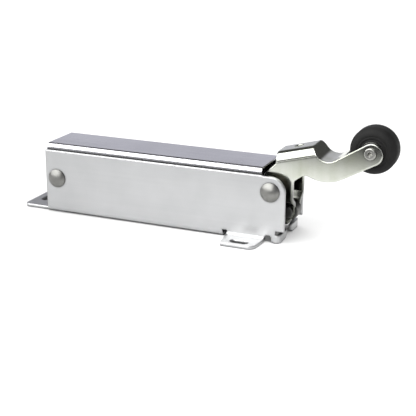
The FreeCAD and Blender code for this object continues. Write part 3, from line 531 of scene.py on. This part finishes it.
def new_mesh(name: str, shape: bmesh.types.BMesh) -> bpy.types.Mesh:
    """Mesh of a closed shape, with its faces looking out. The shape is used up."""
    bmesh.ops.recalc_face_normals(shape, faces=shape.faces)
    mesh = bpy.data.meshes.new(name)
    shape.to_mesh(mesh)
    shape.free()
    return mesh


def rounded(outline: Outline, steps: int) -> list[Vector]:
    """Points of an outline whose corners may be rounded.

    Args:
        outline: Corners as (radius, along), or (radius, along, rounding).
        steps: Segments of each rounding.

    Returns:
        The points, corner after corner.
    """
    points: list[Vector] = []
    corners = [Vector(corner[:2]) for corner in outline]
    for i, corner in enumerate(outline):
        if len(corner) == 2:
            points.append(corners[i])
            continue
        back = (corners[i - 1] - corners[i]).normalized()
        ahead = (corners[i + 1] - corners[i]).normalized()
        half = back.angle(ahead) / 2
        middle = corners[i] + (back + ahead).normalized() * (corner[2] / math.sin(half))
        start = corners[i] + back * (corner[2] / math.tan(half)) - middle
        sweep = (math.pi - 2 * half) * (1 if back.cross(ahead) < 0 else -1)
        for step in range(steps + 1):
            turn = Matrix.Rotation(sweep * step / steps, 2)
            points.append(middle + turn @ start)
    return points


def turned_mesh(name: str, points: Sequence[Vector], middle: Vector, segments: int) -> bpy.types.Mesh:
    """Turn an outline once round an axis along Y.

    Args:
        name: Name of the mesh.
        points: Outline as (radius, along). Points on the axis become one vertex.
        middle: Where the middle of the piece lies.
        segments: Segments round the axis.

    Returns:
        A closed mesh, in place.
    """
    shape = bmesh.new()
    rings = []
    for radius, along in points:
        if radius < ON_AXIS:
            rings.append([shape.verts.new((0, along, 0))])
            continue
        turns = (math.tau * i / segments for i in range(segments))
        corners = [(radius * math.cos(a), along, radius * math.sin(a)) for a in turns]
        rings.append([shape.verts.new(corner) for corner in corners])
    closed = len(rings[0]) > 1
    pairs = zip(rings, rings[1:] + rings[:1]) if closed else zip(rings, rings[1:])
    for low, high in pairs:
        for i in range(segments):
            j = (i + 1) % segments
            if len(low) == 1:
                shape.faces.new((low[0], high[j], high[i]))
            elif len(high) == 1:
                shape.faces.new((low[i], low[j], high[0]))
            else:
                shape.faces.new((low[i], low[j], high[j], high[i]))
    shape.transform(Matrix.Translation(middle))
    return new_mesh(name, shape)


def mirrored(half: Outline) -> Outline:
    """Outline of a piece that is the same at both ends, from its half at the +Y end."""
    return half + [(corner[0], -corner[1], *corner[2:]) for corner in reversed(half)]


@dataclass
class Housing:
    """Channel, cover and the two rivets through them.

    Attributes:
        edge: Broken edge of the channel's sheet.
        cover_edge: Broken edge of the cover's thinner sheet and of the spacers.
        head_land: Straight rim under a rivet's dome.
        head_round: Rounding where the rim meets the dome.
        shank: Radius of a rivet between its heads.
        sheet: Thickness of the walls.
        dome_steps: Segments from the top of a dome to its rim.
        round_steps: Segments of a rounding.
        segments: Segments round a rivet.
    """

    edge: float = 0.35 * MM
    cover_edge: float = 0.25 * MM
    head_land: float = 0.5 * MM
    head_round: float = 0.25 * MM
    shank: float = 3.17 * MM
    sheet: float = 1.9 * MM
    dome_steps: int = 12
    round_steps: int = 3
    segments: int = 64

    def rivet(self, node: str, hinge: str) -> None:
        """Turn a rivet with domed heads.

        Args:
            node: Solid that it stands for.
            hinge: Joint on its axis.
        """
        low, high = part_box(node)
        middle = Vector(joint(hinge)["pos_m"])
        head = (high.x - low.x) / 2
        top = high.y
        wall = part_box("pivot_spacers")[1].y + self.sheet
        rise = top - wall - self.head_land
        dome = (head**2 + rise**2) / (2 * rise)
        lean = math.asin(head / dome)
        turns = [lean * i / self.dome_steps for i in range(self.dome_steps)]
        arc = [(dome * math.sin(turn), top - dome + dome * math.cos(turn)) for turn in turns]
        half = arc + [(head, top - rise, self.head_round), (head, wall), (self.shank, wall)]
        points = rounded(mirrored(half), self.round_steps)
        mesh = turned_mesh(f"{node}_turned", points, middle, self.segments)
        finish_piece(mesh, RIVET_STEEL, "housing", node)

    def build(self) -> None:
        """Dress the sheet metal and turn the rivets."""
        dress("housing_channel", HOUSING_PLATE, self.edge)
        dress("top_cover", COVER_PLATE, self.cover_edge)
        for node in ("pivot_spacers", "rear_spacers"):
            dress(node, PLAIN_STEEL, self.cover_edge)
        self.rivet("pivot_rivet", "arm_pivot")
        self.rivet("rear_rivet", "strut_swing")


@dataclass
class LeverArm:
    """Pressed arm with its bushes and its crank pin.

    Attributes:
        edge: Broken edge of the arm's sheet.
    """

    edge: float = 0.9 * MM

    def build(self) -> None:
        """Dress the arm and its pins."""
        dress("lever_arm", ARM_PLATE, self.edge)
        dress("pivot_bushes", BUSH_BRASS)
        dress("crank_pin", DARK_STEEL)


@dataclass
class Roller:
    """Rubber roller on its hollow rivet.

    Attributes:
        shoulder: Rounding of the tread's edges.
        mould_line: Half the width of the flat at the tread's middle.
        rings: Radius of each moulded ring on the roller's faces.
        ring_width: Width of a ring.
        ring_depth: Depth of a ring.
        bore_gap: Gap between tread and bush.
        round_steps: Segments of a rounding.
        segments: Segments round the roller.
    """

    shoulder: float = 4.3 * MM
    mould_line: float = 0.12 * MM
    rings: tuple[float, ...] = (8.6 * MM, 6.9 * MM)
    ring_width: float = 0.5 * MM
    ring_depth: float = 0.18 * MM
    bore_gap: float = 0.05 * MM
    round_steps: int = 10
    segments: int = 96

    def tread(self) -> None:
        """Turn the tread, with moulded rings on both faces and a mould line round the middle."""
        low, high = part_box("roller_tread")
        middle = Vector(joint("roller_spin")["pos_m"])
        outer = (high.x - low.x) / 2
        face = high.y
        bush_low, bush_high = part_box("roller_bush")
        bore = (bush_high.x - bush_low.x) / 2 + self.bore_gap
        half: Outline = [(outer, self.mould_line), (outer, face, self.shoulder)]
        for radius in self.rings:
            half += [
                (radius + self.ring_width, face),
                (radius + self.ring_width / 2, face - self.ring_depth),
                (radius - self.ring_width / 2, face - self.ring_depth),
                (radius - self.ring_width, face),
            ]
        half += [(bore, face)]
        points = rounded(mirrored(list(reversed(half))), self.round_steps)
        mesh = turned_mesh("roller_tread_moulded", points, middle, self.segments)
        finish_piece(mesh, ROLLER_RUBBER, "roller", "roller_tread")

    def build(self) -> None:
        """Turn the roller and dress what carries it."""
        self.tread()
        dress("roller_bush", BUSH_BRASS)
        dress("roller_axle", LIT_AXLE_STEEL)
        dress("roller_washers", DARK_STEEL)


@dataclass
class SpringStrut:
    """Cylinder, rod and coil spring.

    Attributes:
        edge: Broken edge of the turned pieces.
        eye_edge: Broken edge of the rod's eye.
        wire: Radius of the spring's wire.
        turns: Turns of the coil.
        closed: Turns at each end that lie against the seat.
        closed_step: Share of the coil's way that a closed turn takes.
        per_turn: Rings of the mesh in a turn.
        around: Sides of the wire.
        sharp: Angle in degrees past which an edge of the wire stays sharp.
    """

    edge: float = 0.2 * MM
    eye_edge: float = 0.3 * MM
    wire: float = 1.4 * MM
    turns: float = 10.0
    closed: float = 1.0
    closed_step: float = 0.026
    per_turn: int = 36
    around: int = 14
    sharp: float = 60.0

    def coil(self) -> None:
        """Wind the spring between its seats."""
        axis = Vector(joint("rod_slide")["axis"]).normalized()
        pin = Vector(joint("strut_swing")["pos_m"])
        corners = [Vector(v.co) for v in frame["nodes"]["closing_spring"].data.vertices]
        along = [(point - pin).dot(axis) for point in corners]
        start, end = min(along), max(along)
        outer = max(((point - pin) - axis * a).length for point, a in zip(corners, along))
        mesh = self.wound(pin + axis * start, axis, end - start, outer - self.wire)
        piece = finish_piece(mesh, SPRING_STEEL, "cylinder", "closing_spring", self.sharp)
        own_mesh(piece)

    def wound(self, foot: Vector, axis: Vector, length: float, mean: float) -> bpy.types.Mesh:
        """Wind the wire of the spring.

        Args:
            foot: Where the coil's axis starts.
            axis: Way that it runs.
            length: Length of the coil.
            mean: Radius at the middle of the wire.

        Returns:
            A closed mesh, in place.
        """
        wire = self.wire
        side = Vector((0, 1, 0))
        up = side.cross(axis)
        section = [math.tau * k / self.around for k in range(self.around)]
        shape = bmesh.new()
        count = int(self.turns * self.per_turn)
        rings = []
        for i in range(count + 1):
            turn = self.turns * i / count
            angle = math.tau * turn
            out = side * math.cos(angle) + up * math.sin(angle)
            centre = foot + axis * (wire + (length - 2 * wire) * self.pitch(turn)) + out * mean
            rings.append([
                shape.verts.new(centre + out * (wire * math.cos(b)) + axis * (wire * math.sin(b)))
                for b in section
            ])
        for low, high in zip(rings, rings[1:]):
            for k in range(self.around):
                j = (k + 1) % self.around
                shape.faces.new((low[k], low[j], high[j], high[k]))
        shape.faces.new(rings[0])
        shape.faces.new(rings[-1])
        return new_mesh("closing_spring_wound", shape)

    def pitch(self, turn: float) -> float:
        """Share of the coil's way that a turn has reached, with closed turns at both ends."""
        ends = self.closed * 2
        free = (1 - self.closed_step * ends) / (self.turns - ends)
        if turn < self.closed:
            return turn * self.closed_step
        if turn > self.turns - self.closed:
            return 1 - (self.turns - turn) * self.closed_step
        return self.closed * self.closed_step + (turn - self.closed) * free

    def build(self) -> None:
        """Wind the spring and dress the rest."""
        self.coil()
        dress("cylinder_tube", TUBE_PAINT, self.edge)
        for node in ("rear_eye_cap", "spring_rear_seat", "spring_front_seat", "piston_nut"):
            dress(node, PLAIN_STEEL, self.edge)
        dress("rod_end_eye", DARK_STEEL, self.eye_edge)
        dress("piston_rod", ROD_CHROME)
        dress("gland_snap_ring", SPRING_STEEL)
        for node in ("rod_gland", "piston"):
            dress(node, BUSH_BRASS)
        for node in ("gland_oring", "rod_seal", "piston_ring"):
            dress(node, SEAL_RUBBER)


def stage_piece(name: str, corners: list[Point], faces: list[tuple[int, ...]],
                material: bpy.types.Material) -> bpy.types.Object:
    """Set up a piece of the studio.

    Args:
        name: Name of the piece.
        corners: Its corners.
        faces: Its faces, as numbers of corners.
        material: Its material.

    Returns:
        The new piece.
    """
    mesh = bpy.data.meshes.new(name)
    mesh.from_pydata(corners, [], faces)
    mesh.materials.append(material)
    piece = bpy.data.objects.new(name, mesh)
    bpy.context.scene.collection.objects.link(piece)
    return piece


def flat_corners(left: float, right: float, near: float, far: float, level: float) -> list[Point]:
    """Corners of a flat rectangle that looks up."""
    return [(left, near, level), (right, near, level), (right, far, level), (left, far, level)]


@dataclass(frozen=True)
class Glow:
    """Bright patch of the room, which the metal mirrors.

    Attributes:
        colour: Its colour and brightness.
        turn: How far its middle lies to the left of the front, in degrees.
        half: Half its width, in degrees.
        low: Its lower edge, in degrees above the floor.
        high: Its upper edge.
        soft: How far its rim fades, in degrees.
    """

    colour: Colour
    turn: float
    half: float
    low: float
    high: float
    soft: float = 4.0

    def mask(self, graph: Graph, way: Socket) -> Socket:
        """Where the patch lies, soft along its rim.

        Args:
            graph: Graph of the room.
            way: Direction that is looked in.

        Returns:
            1 inside the patch and 0 outside it.
        """
        up = graph.axes(way)[2]
        turn = math.radians(self.turn)
        facing = (-math.sin(turn), -math.cos(turn), 0)
        flat = graph.vector("NORMALIZE", graph.vector("MULTIPLY", way, (1, 1, 0)))
        wide = math.cos(math.radians(self.half + self.soft))
        narrow = math.cos(math.radians(self.half - self.soft))
        inside = graph.span(graph.dot(flat, facing), wide, narrow)
        for angle, fade in ((self.low, self.soft), (self.high, -self.soft)):
            outer = math.sin(math.radians(angle - fade))
            inner = math.sin(math.radians(angle + fade))
            inside = graph.math("MULTIPLY", inside, graph.span(up, outer, inner))
        return inside


@dataclass
class Studio:
    """Floor, light and camera.

    Attributes:
        eye: Place of the camera.
        azimuth: How far the camera has gone round to the right of the front, in degrees.
        pitch: How far it looks down, in degrees.
        roll: How far it is turned about its own line of sight, in degrees.
        lens: Focal length in millimetres.
        sensor: Width of the sensor in millimetres.
        clip: Nearest distance that the camera sees.
        floor_size: Side of the floor.
        floor_level: Height of the floor.
        floor_tone: Colour of the floor.
        slot_shadows: Middle and half sizes of the painted shadow under each screw slot.
        slot_shadow_level: Height of that painted shadow.
        slot_shadow_tone: Its colour.
        backdrop_span: Foot and top of the pale wall round the floor.
        backdrop_sides: Sides of that wall.
        ceiling: Strength of the even light from above.
        ceiling_angle: Width of that light in degrees.
        pool: Power of the lamp over the part, in watts.
        pool_place: Where that lamp hangs.
        pool_size: Its length along X and its width.
        flag_span: Near and far edge of the dark cloth, along Y.
        flag_reach: Its left and right edge, along X.
        flag_fade: How far the cloth takes to reach its full darkness, along X and Y.
        flag_depth: How dark it is then.
        flag_lift: Its height over the floor.
        flag_tone: Its colour.
        room: Colour of the room where nothing glows.
        glows: Bright patches of the room: back wall, window to the front left and right wall.
    """

    eye: Point = (0.23744, -0.51929, 0.19357)
    azimuth: float = 22.38
    pitch: float = 18.145
    roll: float = 0.465
    lens: float = 84.275
    sensor: float = 36.0
    clip: float = 0.01
    floor_size: float = 12.0
    floor_level: float = -0.2 * MM
    floor_tone: Colour = (0.92, 0.92, 0.92)
    slot_shadows: tuple[tuple[float, float, float, float], ...] = (
        (-88.5 * MM, 0.0, 3.7 * MM, 7.3 * MM),
        (54.7 * MM, -28.7 * MM, 6.7 * MM, 3.6 * MM),
        (54.7 * MM, 28.7 * MM, 6.7 * MM, 3.6 * MM),
    )
    slot_shadow_level: float = -0.1 * MM
    slot_shadow_tone: Colour = (0.16, 0.16, 0.16)
    backdrop_span: tuple[float, float] = (-0.1, 6.0)
    backdrop_sides: int = 64
    ceiling: float = 4.2
    ceiling_angle: float = 140.0
    pool: float = 0.09
    pool_place: Point = (0.09, -0.075, 0.11)
    pool_size: tuple[float, float] = (0.17, 0.03)
    flag_span: tuple[float, float] = (-0.152, -0.9)
    flag_reach: tuple[float, float] = (-0.09, 0.6)
    flag_fade: tuple[float, float] = (0.08, 0.075)
    flag_depth: float = 0.97
    flag_lift: float = 0.5 * MM
    flag_tone: Colour = (0.02, 0.02, 0.02)
    room: Colour = (0.09, 0.09, 0.09)
    glows: tuple[Glow, ...] = (
        Glow((0.67, 0.67, 0.73), turn=155.0, half=30.0, low=-6.0, high=27.0),
        Glow((4.5, 4.5, 4.5), turn=40.0, half=56.0, low=12.0, high=80.0),
        Glow((0.45, 0.45, 0.47), turn=-62.0, half=40.0, low=-6.0, high=34.0),
    )

    def floor(self) -> None:
        """Lay a pale floor under the feet."""
        half = self.floor_size / 2
        material, graph = new_material("pale_floor")
        graph.surface({"Base Color": paint(self.floor_tone), "Specular IOR Level": 0.0})
        corners = flat_corners(-half, half, -half, half, self.floor_level)
        stage_piece("floor", corners, [(0, 1, 2, 3)], material)

    def slot_shade(self) -> None:
        """Lay painted shadow on the ground under the screw slots."""
        material, graph = new_material("painted_slot_shadow")
        graph.surface({"Base Color": paint(self.slot_shadow_tone), "Specular IOR Level": 0.0})
        corners: list[Point] = []
        for x, y, along, across in self.slot_shadows:
            corners += flat_corners(x - along, x + along, y - across, y + across, self.slot_shadow_level)
        faces = [tuple(range(start, start + 4)) for start in range(0, len(corners), 4)]
        stage_piece("slot_shade", corners, faces, material)

    def backdrop(self) -> None:
        """Stand a pale wall far round the floor, which only the camera sees."""
        material, graph = new_material("pale_wall")
        white = paint((1.0, 1.0, 1.0))
        graph.surface({"Base Color": white, "Emission Color": white, "Emission Strength": 1.0})
        radius = self.floor_size / 2
        count = self.backdrop_sides
        turns = [math.tau * i / count for i in range(count)]
        ring = [(radius * math.cos(a), radius * math.sin(a)) for a in turns]
        corners = [(x, y, height) for height in self.backdrop_span for x, y in ring]
        pairs = [(i, (i + 1) % count) for i in range(count)]
        faces = [(i, j, count + j, count + i) for i, j in pairs]
        wall = stage_piece("backdrop", corners, faces, material)
        wall.visible_diffuse = wall.visible_glossy = wall.visible_shadow = False
        wall.visible_transmission = False

    def camera(self) -> None:
        """Set the camera where the photograph was taken from."""
        data = bpy.data.cameras.new("view")
        data.lens = self.lens
        data.sensor_width = self.sensor
        data.clip_start = self.clip
        camera = bpy.data.objects.new("view", data)
        camera.location = self.eye
        aim = Matrix.Rotation(math.radians(self.azimuth), 3, "Z")
        aim @= Matrix.Rotation(math.radians(90 - self.pitch), 3, "X")
        aim @= Matrix.Rotation(math.radians(self.roll), 3, "Z")
        camera.rotation_euler = aim.to_euler()
        bpy.context.scene.collection.objects.link(camera)
        bpy.context.scene.camera = camera

    def surroundings(self) -> None:
        """Dim room that only the metal mirrors, with its bright patches."""
        world = bpy.data.worlds.new("room")
        bpy.context.scene.world = world
        world.use_nodes = True
        world.cycles_visibility.diffuse = False
        graph = Graph(world.node_tree)
        way = graph.add("TexCoord").outputs["Generated"]
        colour: object = paint(self.room)
        for glow in self.glows:
            colour = graph.blend(glow.mask(graph, way), colour, paint(glow.colour))
        back = graph.add("Background", {"Color": colour, "Strength": 1.0})
        output = graph.add("OutputWorld")
        graph.tree.links.new(back.outputs[0], output.inputs[0])

    def sky_light(self) -> None:
        """Light the floor evenly from above."""
        data = bpy.data.lights.new("ceiling", "SUN")
        data.energy = self.ceiling
        data.angle = math.radians(self.ceiling_angle)
        light = bpy.data.objects.new("ceiling", data)
        light.visible_glossy = False
        bpy.context.scene.collection.objects.link(light)

    def flag(self) -> None:
        """Lay a dark cloth before the part, out of sight, whose reflection greys the arm's tip."""
        near, far = self.flag_span
        left, right = self.flag_reach
        material, graph = new_material("dark_cloth")
        place = graph.axes(graph.add("TexCoord").outputs["Object"])
        aside = graph.span(place[0], left, left + self.flag_fade[0])
        ahead = graph.span(place[1], near, near - self.flag_fade[1], 0.0, self.flag_depth)
        graph.surface({
            "Base Color": paint(self.flag_tone),
            "Specular IOR Level": 0.0,
            "Alpha": graph.math("MULTIPLY", aside, ahead),
        })
        corners = flat_corners(left, right, far, near, self.flag_lift)
        flag = stage_piece("flag", corners, [(0, 1, 2, 3)], material)
        flag.visible_camera = flag.visible_diffuse = flag.visible_shadow = False

    def lamp(self) -> None:
        """Hang a lamp in front of the part, which brightens the floor that the wall mirrors."""
        data = bpy.data.lights.new("overhead", "AREA")
        data.shape = "RECTANGLE"
        data.size, data.size_y = self.pool_size
        data.energy = self.pool
        light = bpy.data.objects.new("overhead", data)
        light.location = self.pool_place
        light.visible_glossy = False
        light.visible_camera = False
        bpy.context.scene.collection.objects.link(light)

    def build(self) -> None:
        """Set up the studio."""
        self.floor()
        self.slot_shade()
        self.backdrop()
        self.camera()
        self.surroundings()
        self.sky_light()
        self.flag()
        self.lamp()
        bpy.context.scene.view_settings.view_transform = "Standard"


def main() -> None:
    """Build the closer and its studio."""
    for part in (Housing(), LeverArm(), Roller(), SpringStrut(), Studio()):
        part.build()
        log.info("%s is done", type(part).__name__)


if __name__ == "__main__":
    main()
